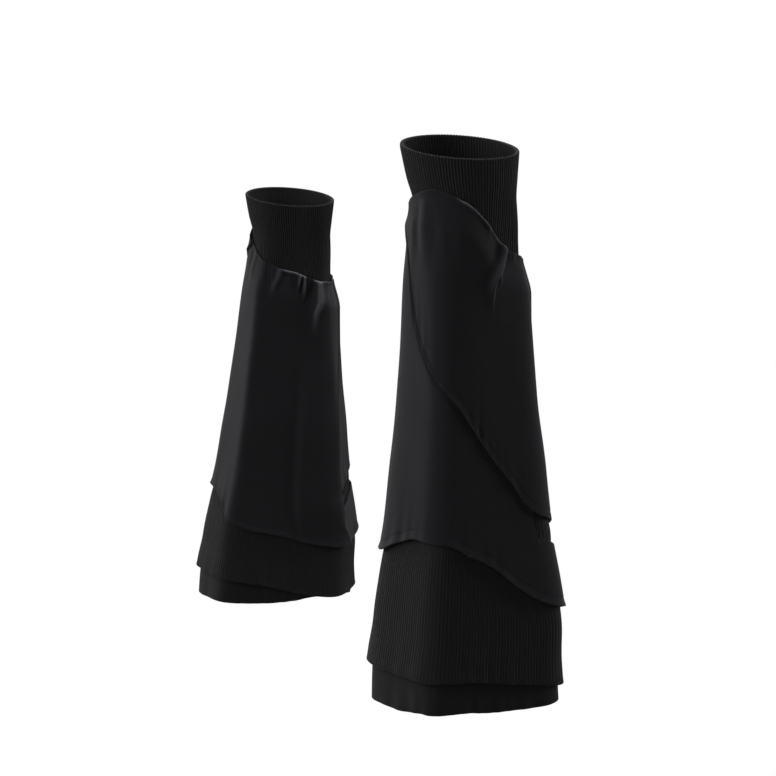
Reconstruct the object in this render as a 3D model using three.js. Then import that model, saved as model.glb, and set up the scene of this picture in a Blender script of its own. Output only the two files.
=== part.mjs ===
// A pair of flared leg warmers in black cloth, one behind the other as on a walker's legs, with nobody in
// them. Each one is a smooth inner tube, a ribbed tube over it and two fleece panels that wrap over both,
// gathered in under a ribbed cuff. Sizes are millimetres and Z is up. Round a leg warmer, a turn of 0 degrees
// is its front, 90 its right side, 180 its back and 270 its left side. Heights are measured up from the
// lowest hem's front.
import * as THREE from "three";

const { degToRad, lerp, smoothstep } = THREE.MathUtils;

// The whole length, and the height at which the calf holds the cuff.
const LENGTH = 450;
const GRIP_HEIGHT = 425;

// The inner tube's outer face, which every other layer is measured out from. The column fiveSided goes from
// an oval at 0 to the flared hem's rounded five-sided fall at 1.
const FORM = [
  { height: 0, centre: 1.6, halfWidth: 76.0, halfDepth: 54.0, fiveSided: 1.0 },
  { height: 30, centre: 1.3, halfWidth: 74.9, halfDepth: 53.6, fiveSided: 1.0 },
  { height: 65, centre: 3.2, halfWidth: 73.2, halfDepth: 52.2, fiveSided: 1.0 },
  { height: 100, centre: 3.0, halfWidth: 68.4, halfDepth: 49.6, fiveSided: 1.0 },
  { height: 150, centre: 2.3, halfWidth: 59.4, halfDepth: 46.4, fiveSided: 1.0 },
  { height: 200, centre: 2.1, halfWidth: 54.0, halfDepth: 44.1, fiveSided: 1.0 },
  { height: 250, centre: 1.0, halfWidth: 49.4, halfDepth: 41.9, fiveSided: 0.95 },
  { height: 300, centre: 0.5, halfWidth: 45.6, halfDepth: 39.9, fiveSided: 0.9 },
  { height: 345, centre: -0.1, halfWidth: 43.2, halfDepth: 38.6, fiveSided: 0.75 },
  { height: 385, centre: 0.5, halfWidth: 40.9, halfDepth: 37.8, fiveSided: 0.4 },
  { height: 408, centre: -0.8, halfWidth: 41.0, halfDepth: 38.0, fiveSided: 0.15 },
  { height: 426, centre: -3.0, halfWidth: 43.6, halfDepth: 39.7, fiveSided: 0.0 },
  { height: 450, centre: -5.0, halfWidth: 46.9, halfDepth: 43.6, fiveSided: 0.0 },
];

// The five flat falls of the flared cloth, each facing a turn at a reach from the middle. On the far one the
// fall at the right is wider.
const FALLS = [
  { turn: -48, reach: 56 },
  { turn: 18, reach: 43 },
  { turn: 112.6, reach: 63 },
  { turn: 177.6, reach: 46 },
  { turn: 237, reach: 64 },
];
const FAR_FALLS = FALLS.with(2, { turn: 106, reach: 79 });
const CORNER_SHARPNESS = 10;

// Heights of the edges that go round a leg warmer.
const SEAM = [
  { turn: 0, height: 412 },
  { turn: 20, height: 399 },
  { turn: 45, height: 379 },
  { turn: 70, height: 368 },
  { turn: 95, height: 361 },
  { turn: 130, height: 365 },
  { turn: 165, height: 373 },
  { turn: 205, height: 378 },
  { turn: 232, height: 387 },
  { turn: 270, height: 406 },
  { turn: 300, height: 416 },
  { turn: 328, height: 421 },
];
const LOWER_HEM = [
  { turn: 0, height: 131 },
  { turn: 27, height: 121 },
  { turn: 50, height: 104 },
  { turn: 75, height: 82 },
  { turn: 100, height: 70 },
  { turn: 130, height: 73 },
  { turn: 165, height: 80 },
  { turn: 208, height: 85 },
  { turn: 224, height: 92 },
  { turn: 243, height: 112 },
  { turn: 262, height: 122 },
  { turn: 272, height: 124 },
  { turn: 285, height: 133 },
  { turn: 315, height: 143 },
  { turn: 335, height: 142 },
];
const RIB_HEM = [
  { turn: 0, height: 27 },
  { turn: 30, height: 24 },
  { turn: 62, height: 19 },
  { turn: 95, height: 11 },
  { turn: 130, height: 13 },
  { turn: 170, height: 20 },
  { turn: 226, height: 26 },
  { turn: 262, height: 28 },
  { turn: 310, height: 28 },
];
const INNER_HEM = [
  { turn: 0, height: 0 },
  { turn: 30, height: -2 },
  { turn: 60, height: -2 },
  { turn: 80, height: 1 },
  { turn: 105, height: 9 },
  { turn: 127, height: 12 },
  { turn: 150, height: 5 },
  { turn: 181, height: 1 },
  { turn: 240, height: -2 },
  { turn: 271, height: -4 },
  { turn: 295, height: -4 },
  { turn: 328, height: 0 },
];
// The ribs of the ribbed tube are raised from here down, just above the fleece's hem and behind the gap
// between the two panels.
const RIBS_FROM = [
  { turn: 0, height: 140 },
  { turn: 27, height: 130 },
  { turn: 48, height: 125 },
  { turn: 61, height: 176 },
  { turn: 77, height: 166 },
  { turn: 108, height: 158 },
  { turn: 124, height: 92 },
  { turn: 165, height: 89 },
  { turn: 208, height: 94 },
  { turn: 224, height: 101 },
  { turn: 243, height: 120 },
  { turn: 262, height: 135 },
  { turn: 285, height: 144 },
  { turn: 315, height: 151 },
  { turn: 335, height: 150 },
];

// The upper panel's slanting lower edge, from its left end to its right end.
const UPPER_HEM = [
  { turn: -103, height: 396 },
  { turn: -88, height: 387 },
  { turn: -76, height: 365 },
  { turn: -66, height: 328 },
  { turn: -54, height: 302 },
  { turn: -36, height: 280 },
  { turn: -16, height: 256 },
  { turn: 0, height: 238 },
  { turn: 21, height: 218 },
  { turn: 51, height: 190 },
  { turn: 69, height: 162 },
  { turn: 90, height: 142 },
  { turn: 125, height: 122 },
];
// The lower panel's top edge where it runs down behind the upper panel. It steps down at a turn of 429,
// where the ribs show through the gap.
const LOWER_TOP = [
  { turn: 262, height: 401 },
  { turn: 282, height: 378 },
  { turn: 294, height: 346 },
  { turn: 306, height: 320 },
  { turn: 324, height: 296 },
  { turn: 344, height: 272 },
  { turn: 360, height: 254 },
  { turn: 381, height: 234 },
  { turn: 411, height: 205 },
  { turn: 427.5, height: 180 },
  { turn: 429.5, height: 145 },
  { turn: 437, height: 134 },
  { turn: 450, height: 121 },
  { turn: 484, height: 103 },
];
// The lower panel's free edge, which leans as it falls and lies over the upper panel's right end.
const FREE_EDGE = [
  { height: 60, turn: 112 },
  { height: 84, turn: 114 },
  { height: 100, turn: 118 },
  { height: 123, turn: 119 },
  { height: 156, turn: 118 },
  { height: 201, turn: 116 },
  { height: 243, turn: 109 },
  { height: 290, turn: 94 },
  { height: 330, turn: 89 },
  { height: 365, turn: 87 },
];
// Where the panels' columns begin and end. Between the leading turns they lean with the free edge.
const UPPER_ENDS = { from: -103, to: 104 };
const LOWER_ENDS = { from: 100, to: 472 };
const LEADING = { from: 80, full: 98, fading: 115, to: 165 };

// Gathers under the top seam: where each starts, how far it stands out, its half width in degrees, how far
// down it runs and how many degrees it leans on the way.
const GATHERS = [
  { turn: 30, raise: 1.4, width: 5, length: 30, lean: -6 },
  { turn: 48, raise: 2.4, width: 6, length: 62, lean: -20 },
  { turn: 62, raise: 1.2, width: 4, length: 18, lean: 0 },
  { turn: 135, raise: 2.4, width: 5, length: 60, lean: 5 },
  { turn: 155, raise: 1.8, width: 4, length: 28, lean: 0 },
  { turn: 165, raise: 1.3, width: 4, length: 16, lean: 0 },
  { turn: 193, raise: 1.2, width: 5, length: 24, lean: 3 },
  { turn: 208, raise: 1.4, width: 5, length: 30, lean: 3 },
];

// Layers, each as its inner face's distance out from the form and its wall.
const INNER_TUBE = { inside: -1.2, wall: 1.2 };
const RIBBED_TUBE = { inside: 0.7, wall: 2.1, ribRaise: 0.8, hemFlare: 1.6, hemFlareHeight: 40 };
const CUFF = { inside: -3.3, wall: 3.0, ribRaise: 0.8, rimRound: 3 };
const FLEECE = { wall: 1.7, lip: 0.8, lipHeight: 5, settle: 30 };
// The fleece lies closer above these heights, where the ribs under it are not raised.
const CLOSER = { by: 1.4, from: 190, full: 250 };
const LOWER_PANEL = { atSeam: 1.0, below: 5.7, overUpperAtSeam: 4.4, overUpper: 11.9, overLower: 8.9 };
const UPPER_PANEL = { atSeam: 1.0, overLowerAtSeam: 3.7, below: 7.9 };
// Turns between which the upper panel comes off the lower one's top at the seam, turns between which the lower
// panel comes off what its free edge lies on, and heights between which the upper panel's hem is under it.
const OFF_LOWER = { from: -78, to: -58 };
const OFF_UPPER = { from: 117, to: 152 };
const UPPER_UNDER = { from: 80, to: 118 };

// How far the cuff reaches down inside the fleece, and where the tubes under it start.
const CUFF_TUCK = 7;
const SEAM_GAP = 0.3;
const RIBBED_TUBE_DROP = 20;

// Ribs in the knit: a pair of columns each, a little coarser than the cloth's own 2.4 mm.
const CUFF_RIBS = 100;
const HEM_RIBS = 140;
const RIB_BASE = 0.3;
const PLAIN_COLUMNS = 40;
const CORNERS = [77, 126, 223, 269.5, 333.5];
const PLAIN_LEVELS = [325, 260, 200, 145, 98, 48];
const INSIDE_LEVELS = [260, 145, 48];
// Heights at which the columns are spaced out evenly round the form.
const PLAIN_SPACED_AT = 150;
const HEM_SPACED_AT = 60;
const SPACING_STEPS = 720;
// A panel's rows: shares of the stretch where it settles over the layers below, then even ones.
const SETTLING_ROWS = [0, 0.3, 0.6, 1];
const MOST_SETTLING = 0.4;
const HANGING_ROWS = 5;
const CLOSEST_COLUMNS = 2.2;
// Columns that follow the corner at the right, where the panels' own columns lean away from the form's, and
// those where one panel's end lies behind another.
const CORNER_TURNS = [67, 72, 75, 78, 81, 85, 89, 93, 97, 100, 104, 108, 112];
// Columns where the lower panel's top steps down, and the space kept round them.
const STEP_TURNS = [427.5, 429.5, 431.5];
const STEP_SPACE = 1.5;

// The two leg warmers. The far one is the other leg's, so its depth is mirrored.
const NEAR = {
  name: "near",
  mirrored: false,
  lean: 0,
  step: { right: 0, behind: 0, up: 0 },
  spread: { cuff: 1, hem: 1, depth: 1 },
  rimDrop: { front: 4, right: 3 },
  falls: FALLS,
};
const FAR = {
  name: "far",
  mirrored: true,
  lean: 3.5,
  step: { right: -177, behind: 763, up: -148 },
  spread: { cuff: 1.04, hem: 1.125, depth: 0.97 },
  rimDrop: { front: -4, right: 1 },
  falls: FAR_FALLS,
};
const SPREAD_HEIGHTS = { full: 230, none: 420 };

const CLOTHS = {
  rib: new THREE.MeshStandardMaterial({ color: "#242426", roughness: 0.95, metalness: 0 }),
  jersey: new THREE.MeshStandardMaterial({ color: "#1f1f22", roughness: 0.9, metalness: 0 }),
  fleece: new THREE.MeshStandardMaterial({ color: "#2c2b2f", roughness: 0.95, metalness: 0 }),
};

// A smooth curve through one column of a table, with slopes that never overshoot a row.
function curve(rows, along, column) {
  const at = rows.map((row) => row[along]);
  const value = rows.map((row) => row[column]);
  const rise = at.slice(1).map((end, i) => (value[i + 1] - value[i]) / (end - at[i]));
  const slope = at.map((_, i) => {
    const before = rise[Math.max(i - 1, 0)];
    const after = rise[Math.min(i, rise.length - 1)];
    return before * after <= 0 ? 0 : (2 * before * after) / (before + after);
  });
  return (where) => {
    const x = Math.min(Math.max(where, at[0]), at[at.length - 1]);
    const k = Math.max(at.findLastIndex((start, i) => start <= x && i < at.length - 1), 0);
    const span = at[k + 1] - at[k];
    const t = (x - at[k]) / span;
    const straight = lerp(value[k], value[k + 1], t);
    const lift = slope[k] * span - (value[k + 1] - value[k]);
    const fall = slope[k + 1] * span - (value[k + 1] - value[k]);
    return straight + t * (1 - t) * ((1 - t) * lift - t * fall);
  };
}

// The same for a table of turns that closes on itself.
function curveRound(rows) {
  const first = rows[0];
  const last = rows[rows.length - 1];
  const closed = [
    { turn: last.turn - 360, height: last.height },
    ...rows,
    { turn: first.turn + 360, height: first.height },
    { turn: rows[1].turn + 360, height: rows[1].height },
  ];
  const through = curve(closed, "turn", "height");
  return (turn) => through(((turn % 360) + 360) % 360);
}

const seam = curveRound(SEAM);
const lowerHem = curveRound(LOWER_HEM);
const ribHem = curveRound(RIB_HEM);
const innerHem = curveRound(INNER_HEM);
const ribsFrom = curveRound(RIBS_FROM);
const ribbedTop = (turn) => seam(turn) - RIBBED_TUBE_DROP;
const upperHem = curve(UPPER_HEM, "turn", "height");
const lowerTopHidden = curve(LOWER_TOP, "turn", "height");
const freeEdge = curve(FREE_EDGE, "height", "turn");
const [centre, halfWidth, halfDepth, fiveSided] = ["centre", "halfWidth", "halfDepth", "fiveSided"].map(
  (column) => curve(FORM, "height", column),
);

// A turn's point on the five-sided outline, at the size that the falls' reaches give.
function fallPoint(falls, turn) {
  let sum = 0;
  for (const fall of falls) {
    const facing = Math.max(Math.cos(degToRad(turn - fall.turn)), 0);
    sum += (facing / fall.reach) ** CORNER_SHARPNESS;
  }
  const reach = sum ** (-1 / CORNER_SHARPNESS);
  return new THREE.Vector2(reach * Math.sin(degToRad(turn)), -reach * Math.cos(degToRad(turn)));
}

// The box round a five-sided outline, which brings it to a half width and half depth of 1.
function outlineBox(falls) {
  const box = new THREE.Box2();
  for (let turn = 0; turn < 360; turn += 0.25) {
    box.expandByPoint(fallPoint(falls, turn));
  }
  return { middle: box.getCenter(new THREE.Vector2()), half: box.getSize(new THREE.Vector2()).divideScalar(2) };
}
const OUTLINES = new Map([FALLS, FAR_FALLS].map((falls) => [falls, outlineBox(falls)]));

// The point of one leg warmer's form at a turn and height, moved out by a distance square to the outline.
function formPoint(leg, turn, height, out) {
  const flared = 1 - smoothstep(height, SPREAD_HEIGHTS.full, SPREAD_HEIGHTS.none);
  const width = halfWidth(height) * lerp(leg.spread.cuff, leg.spread.hem, flared);
  const depth = halfDepth(height) * leg.spread.depth;
  const blend = fiveSided(height);
  const { middle, half } = OUTLINES.get(leg.falls);
  const onOutline = (where) => {
    const fall = fallPoint(leg.falls, where).sub(middle).divide(half);
    const oval = new THREE.Vector2(Math.sin(degToRad(where)), -Math.cos(degToRad(where)));
    return oval.lerp(fall, blend).multiply(new THREE.Vector2(width, depth));
  };
  const along = onOutline(turn + 1).sub(onOutline(turn - 1)).normalize();
  const point = onOutline(turn);
  return new THREE.Vector3(centre(height) + point.x + out * along.y, point.y - out * along.x, height);
}

// Turns evenly spaced by length round the form at a height.
function evenTurns(height, count) {
  const lengths = [0];
  let last = formPoint(NEAR, 0, height, 0);
  for (let i = 1; i <= SPACING_STEPS; i += 1) {
    const next = formPoint(NEAR, (i * 360) / SPACING_STEPS, height, 0);
    lengths.push(lengths[i - 1] + next.distanceTo(last));
    last = next;
  }
  const turns = [];
  for (let k = 0, i = 0; k < count; k += 1) {
    const wanted = (k / count) * lengths[SPACING_STEPS];
    while (lengths[i + 1] < wanted) {
      i += 1;
    }
    turns.push(((i + (wanted - lengths[i]) / (lengths[i + 1] - lengths[i])) * 360) / SPACING_STEPS);
  }
  return turns;
}
// The plain columns, with the nearest one to each corner moved to it.
function plainTurns() {
  const turns = evenTurns(PLAIN_SPACED_AT, PLAIN_COLUMNS);
  for (const corner of CORNERS) {
    const away = turns.map((turn) => Math.abs(turn - corner));
    turns[away.indexOf(Math.min(...away))] = corner;
  }
  return turns;
}
const PLAIN_TURNS = plainTurns();
const CUFF_TURNS = evenTurns(GRIP_HEIGHT, CUFF_RIBS * 2);
const HEM_TURNS = evenTurns(HEM_SPACED_AT, HEM_RIBS * 2);

// A ring of a tube: a point for each turn, at heights and distances out that functions give.
function ring(leg, turns, heightAt, outAt) {
  const points = turns.map((turn, column) => {
    const height = heightAt(turn);
    return formPoint(leg, turn, height, outAt(turn, height, column));
  });
  return { turns, points };
}

function solid(points, faces) {
  const geometry = new THREE.BufferGeometry();
  geometry.setAttribute("position", new THREE.Float32BufferAttribute(points.flatMap((p) => [p.x, p.y, p.z]), 3));
  geometry.setIndex(faces);
  geometry.computeVertexNormals();
  return geometry;
}

// A closed wall through rings that go down the outside and up the inside. Neighbours may differ in number.
function tube(rings) {
  const starts = rings.map((_, i) => rings.slice(0, i).reduce((sum, one) => sum + one.points.length, 0));
  const faces = [];
  rings.forEach((upper, i) => {
    const lower = rings[(i + 1) % rings.length];
    const upperStart = starts[i];
    const lowerStart = starts[(i + 1) % rings.length];
    const turnAt = (one, k) => one.turns[k % one.turns.length] + 360 * Math.floor(k / one.turns.length);
    let a = 0;
    let b = 0;
    while (a < upper.points.length || b < lower.points.length) {
      const stepUpper =
        b >= lower.points.length ||
        (a < upper.points.length && turnAt(upper, a + 1) <= turnAt(lower, b + 1));
      const here = upperStart + (a % upper.points.length);
      const below = lowerStart + (b % lower.points.length);
      if (stepUpper) {
        a += 1;
        faces.push(here, below, upperStart + (a % upper.points.length));
      } else {
        b += 1;
        faces.push(here, below, lowerStart + (b % lower.points.length));
      }
    }
  });
  return solid(rings.flatMap((one) => one.points), faces);
}

// A panel's closed wall through columns, each a loop down the outside and up the inside.
function panel(columns) {
  const count = columns[0].length;
  const faces = [];
  for (let c = 0; c + 1 < columns.length; c += 1) {
    for (let i = 0; i < count; i += 1) {
      const left = c * count + i;
      const leftNext = c * count + ((i + 1) % count);
      faces.push(left, leftNext, left + count);
      faces.push(leftNext, leftNext + count, left + count);
    }
  }
  const end = (columns.length - 1) * count;
  for (let i = 0; i < count / 2 - 1; i += 1) {
    const [outer, outerNext, innerNext, inner] = [i, i + 1, count - 2 - i, count - 1 - i];
    faces.push(innerNext, outerNext, outer, inner, innerNext, outer);
    faces.push(end + outer, end + outerNext, end + innerNext, end + outer, end + innerNext, end + inner);
  }
  return solid(columns.flat(), faces);
}

// The rim dips to one side, as a worn cuff does.
function rimHeight(leg, turn) {
  return LENGTH - leg.rimDrop.front * Math.cos(degToRad(turn)) - leg.rimDrop.right * Math.sin(degToRad(turn));
}

// The rib-knit cuff, ribbed outside, from its round rim down to where it tucks into the fleece.
function cuff(leg) {
  const outside = CUFF.inside + CUFF.wall;
  const ribbed = (turn, height, column) => outside + CUFF.ribRaise * ((column % 2) - RIB_BASE);
  const rim = (turn) => rimHeight(leg, turn);
  const belowRim = (turn) => rim(turn) - CUFF.rimRound;
  const middle = (turn) => (seam(turn) + rim(turn)) / 2;
  const foot = (turn) => seam(turn) - CUFF_TUCK;
  return tube([
    ring(leg, CUFF_TURNS, belowRim, ribbed),
    ring(leg, CUFF_TURNS, middle, ribbed),
    ring(leg, CUFF_TURNS, (turn) => seam(turn) + SEAM_GAP, ribbed),
    ring(leg, PLAIN_TURNS, foot, () => outside),
    ring(leg, PLAIN_TURNS, foot, () => CUFF.inside),
    ring(leg, PLAIN_TURNS, middle, () => CUFF.inside),
    ring(leg, PLAIN_TURNS, belowRim, () => CUFF.inside),
    ring(leg, PLAIN_TURNS, rim, () => CUFF.inside + CUFF.wall / 2),
  ]);
}

// The smooth tube next to the leg, from under the cuff to the lowest hem.
function innerTube(leg) {
  const top = (turn) => seam(turn) - CUFF_TUCK - SEAM_GAP;
  const outside = [top, ribbedTop, ...PLAIN_LEVELS.map((level) => () => level), innerHem];
  const inside = [top, ...INSIDE_LEVELS.map((level) => () => level), innerHem];
  return tube([
    ...outside.map((height) => ring(leg, PLAIN_TURNS, height, () => INNER_TUBE.inside + INNER_TUBE.wall)),
    ...inside.toReversed().map((height) => ring(leg, PLAIN_TURNS, height, () => INNER_TUBE.inside)),
  ]);
}

// The ribbed tube over it, plain where the fleece hides it and standing a little proud at its hem.
function ribbedTube(leg) {
  const { inside, wall, ribRaise, hemFlare, hemFlareHeight } = RIBBED_TUBE;
  const proud = (turn, height) => hemFlare * (1 - smoothstep(height - ribHem(turn), 0, hemFlareHeight));
  const inner = (turn, height) => inside + proud(turn, height);
  const outer = (turn, height) => inner(turn, height) + wall;
  const ribbed = (turn, height, column) => outer(turn, height) + ribRaise * (column % 2);
  const hidden = [ribbedTop, () => PLAIN_LEVELS[0], () => PLAIN_LEVELS[1], () => PLAIN_LEVELS[2]];
  const shown = [1, 0.5, 0].map((share) => (turn) => lerp(ribHem(turn), ribsFrom(turn), share));
  const behind = [ribbedTop, ...PLAIN_LEVELS.map((level) => () => level), ribHem];
  return tube([
    ...hidden.map((height) => ring(leg, PLAIN_TURNS, height, outer)),
    ...shown.map((height) => ring(leg, HEM_TURNS, height, ribbed)),
    ...behind.toReversed().map((height) => ring(leg, PLAIN_TURNS, height, inner)),
  ]);
}

// A panel's turn, led aside at its end so that it follows the free edge's lean.
function ledTurn(turn, height) {
  const near = turn > 270 ? turn - 360 : turn;
  const { from, full, fading, to } = LEADING;
  const share = smoothstep(near, from, full) * (1 - smoothstep(near, fading, to));
  return turn + (freeEdge(height) - LOWER_ENDS.from) * share;
}

// The turn and height where a panel's column meets an edge.
function onEdge(turn, edge) {
  let led = turn;
  for (let i = 0; i < 4; i += 1) {
    led = ledTurn(turn, edge(led));
  }
  return edge(led);
}

// How far the gathers stand out of a panel, fading as they run down from the seam.
function gathered(turn, drop) {
  let raise = 0;
  for (const gather of GATHERS) {
    const down = Math.min(Math.max(drop, 0) / gather.length, 1);
    const aside = (turn - gather.turn - gather.lean * down) / gather.width;
    raise += gather.raise * Math.exp(-aside * aside) * (1 - down) ** 2 * smoothstep(drop, 0, FLEECE.lipHeight);
  }
  return raise;
}

function closer(height) {
  return CLOSER.by * smoothstep(height, CLOSER.from, CLOSER.full);
}

// A fleece panel between two edges. outAt gives its inner face's distance out at a turn, height and drop
// below the seam.
function fleecePanel(leg, turns, topEdge, bottomEdge, outAt) {
  return panel(
    turns.map((turn) => {
      const top = onEdge(turn, topEdge);
      const bottom = onEdge(turn, bottomEdge);
      const settled = top - Math.min(FLEECE.settle, (top - bottom) * MOST_SETTLING);
      const heights = SETTLING_ROWS.map((share) => lerp(top, settled, share));
      for (let row = 1; row <= HANGING_ROWS; row += 1) {
        heights.push(lerp(settled, bottom, row / HANGING_ROWS));
      }
      const face = (height, outside) => {
        const led = ledTurn(turn, height);
        const drop = seam(led) - height;
        const lip = FLEECE.lip * (1 - smoothstep(drop, 0, FLEECE.lipHeight));
        const extra = FLEECE.wall + lip + gathered(((led % 360) + 360) % 360, drop);
        return formPoint(leg, led, height, outAt(turn, height, drop) + (outside ? extra : 0));
      };
      const outer = heights.map((height) => face(height, true));
      return [...outer, ...heights.toReversed().map((height) => face(height, false))];
    }),
  );
}

// The plain columns between two turns, both ends, and three columns for each gather on the way.
function panelTurns({ from, to }) {
  const turns = [from, to];
  for (const lap of [-360, 0, 360]) {
    turns.push(...[...PLAIN_TURNS, ...CORNER_TURNS].map((turn) => turn + lap));
    for (const { turn, width } of GATHERS) {
      turns.push(turn + lap - width, turn + lap, turn + lap + width);
    }
  }
  const sorted = turns.filter((turn) => turn >= from && turn <= to).sort((a, b) => a - b);
  const spaced = (turn, i) => turn - sorted[i - 1] > CLOSEST_COLUMNS && to - turn > CLOSEST_COLUMNS;
  return sorted.filter((turn, i) => i === 0 || turn === to || spaced(turn, i));
}

// The upper panel, over the front from the left side to under the free edge on the right.
function upperPanel(leg) {
  const { atSeam, overLowerAtSeam, below } = UPPER_PANEL;
  return fleecePanel(leg, panelTurns(UPPER_ENDS), seam, upperHem, (turn, height, drop) => {
    const start = lerp(overLowerAtSeam, atSeam, smoothstep(turn, OFF_LOWER.from, OFF_LOWER.to));
    return lerp(start, below - closer(height), smoothstep(drop, 0, FLEECE.settle));
  });
}

// The lower panel, from its free edge on the right round the back and left side, then down across the front
// behind the upper panel to an end tucked in behind its own free edge.
function lowerPanel(leg) {
  const topEdge = (turn) => (turn < LOWER_TOP[0].turn ? seam(turn) : lowerTopHidden(turn));
  const turns = [...panelTurns(LOWER_ENDS), ...STEP_TURNS].sort((a, b) => a - b);
  const clear = (turn) => STEP_TURNS.every((step) => Math.abs(step - turn) >= STEP_SPACE);
  const spaced = turns.filter((turn) => STEP_TURNS.includes(turn) || clear(turn));
  return fleecePanel(leg, spaced, topEdge, lowerHem, (turn, height, drop) => {
    const { atSeam, below, overUpperAtSeam, overUpper, overLower } = LOWER_PANEL;
    const over = 1 - smoothstep(turn, OFF_UPPER.from, OFF_UPPER.to);
    const free = lerp(overLower, overUpper, smoothstep(height, UPPER_UNDER.from, UPPER_UNDER.to));
    const start = lerp(atSeam, overUpperAtSeam, over);
    return lerp(start, lerp(below, free, over) - closer(height), smoothstep(drop, 0, FLEECE.settle));
  });
}

function legWarmer(leg) {
  const pieces = [
    { name: "cuff", shape: cuff(leg), cloth: CLOTHS.rib },
    { name: "inner_tube", shape: innerTube(leg), cloth: CLOTHS.jersey },
    { name: "ribbed_tube", shape: ribbedTube(leg), cloth: CLOTHS.rib },
    { name: "lower_panel", shape: lowerPanel(leg), cloth: CLOTHS.fleece },
    { name: "upper_panel", shape: upperPanel(leg), cloth: CLOTHS.fleece },
  ];
  const upright = new THREE.Group();
  upright.position.z = -LENGTH / 2;
  for (const { name, shape, cloth } of pieces) {
    const mesh = new THREE.Mesh(shape, cloth);
    mesh.name = `${leg.name}_${name}`;
    upright.add(mesh);
  }
  upright.scale.y = leg.mirrored ? -1 : 1;
  const leaning = new THREE.Group();
  leaning.add(upright);
  leaning.rotation.y = degToRad(leg.lean);
  leaning.position.set(
    leg.step.right - centre(GRIP_HEIGHT),
    leg.step.behind,
    leg.step.up + LENGTH / 2 - GRIP_HEIGHT,
  );
  return leaning;
}

const pair = new THREE.Group();
pair.add(legWarmer(NEAR), legWarmer(FAR));

export default pair;
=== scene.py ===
"""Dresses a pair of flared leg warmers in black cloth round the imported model's frame.

Round a leg warmer, a turn of 0 degrees is its front, 90 its right side, 180 its back and 270 its left side.
Garment sizes are millimetres, heights are measured up from the lowest hem's front, and layers are distances
out from the form, which is the inner tube's outer face. Points become metres where a mesh is made.
"""

import math
import random
from collections import namedtuple

import bpy
import numpy as np
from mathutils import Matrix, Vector


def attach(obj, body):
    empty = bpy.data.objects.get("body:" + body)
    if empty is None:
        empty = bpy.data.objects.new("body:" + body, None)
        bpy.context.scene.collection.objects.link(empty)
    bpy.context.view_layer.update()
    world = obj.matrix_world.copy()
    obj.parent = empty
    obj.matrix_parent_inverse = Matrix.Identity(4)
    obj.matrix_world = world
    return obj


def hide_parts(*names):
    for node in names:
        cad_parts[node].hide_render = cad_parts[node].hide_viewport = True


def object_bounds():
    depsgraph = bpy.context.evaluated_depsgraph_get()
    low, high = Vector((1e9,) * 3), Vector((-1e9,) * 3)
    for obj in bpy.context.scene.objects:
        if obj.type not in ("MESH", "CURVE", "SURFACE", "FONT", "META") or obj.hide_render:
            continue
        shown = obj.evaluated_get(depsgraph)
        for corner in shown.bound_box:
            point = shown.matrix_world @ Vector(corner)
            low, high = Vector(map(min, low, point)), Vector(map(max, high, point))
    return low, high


bl_info = {
    "name": "Flared Leg Warmers",
    "version": (1, 0, 0),
    "blender": (4, 5, 0),
    "location": "3D View > Sidebar > Leg Warmers",
    "description": "Builds a pair of flared leg warmers with ribbed cuffs and wrapped fleece panels",
    "category": "Add Mesh",
}

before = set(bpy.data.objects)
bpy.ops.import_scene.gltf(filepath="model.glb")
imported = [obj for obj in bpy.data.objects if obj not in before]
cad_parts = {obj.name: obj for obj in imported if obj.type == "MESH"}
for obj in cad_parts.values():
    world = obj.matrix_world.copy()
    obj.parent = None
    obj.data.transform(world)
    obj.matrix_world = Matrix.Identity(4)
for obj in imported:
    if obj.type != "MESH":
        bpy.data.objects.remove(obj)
CAD_BOX = [list(corner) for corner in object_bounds()]
MM = 0.001

# The whole length, and the height at which the calf holds the cuff.
LENGTH = 450
GRIP_HEIGHT = 425

Level = namedtuple("Level", "height centre half_width half_depth five_sided")
FORM = [
    Level(0, 1.6, 76.0, 54.0, 1.0),
    Level(30, 1.3, 74.9, 53.6, 1.0),
    Level(65, 3.2, 73.2, 52.2, 1.0),
    Level(100, 3.0, 68.4, 49.6, 1.0),
    Level(150, 2.3, 59.4, 46.4, 1.0),
    Level(200, 2.1, 54.0, 44.1, 1.0),
    Level(250, 1.0, 49.4, 41.9, 0.95),
    Level(300, 0.5, 45.6, 39.9, 0.9),
    Level(345, -0.1, 43.2, 38.6, 0.75),
    Level(385, 0.5, 40.9, 37.8, 0.4),
    Level(408, -0.8, 41.0, 38.0, 0.15),
    Level(426, -3.0, 43.6, 39.7, 0.0),
    Level(450, -5.0, 46.9, 43.6, 0.0),
]

# The five flat falls of the flared hem, each facing a turn at a reach from the middle.
Fall = namedtuple("Fall", "turn reach")
NEAR_FALLS = [Fall(-48, 56), Fall(18, 43), Fall(112.6, 63), Fall(177.6, 46), Fall(237, 64)]
FAR_FALLS = [Fall(-48, 56), Fall(18, 43), Fall(106, 79), Fall(177.6, 46), Fall(237, 64)]
# How crisp the corners between the tubes' falls are.
CORNER_SHARPNESS = 10

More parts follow.
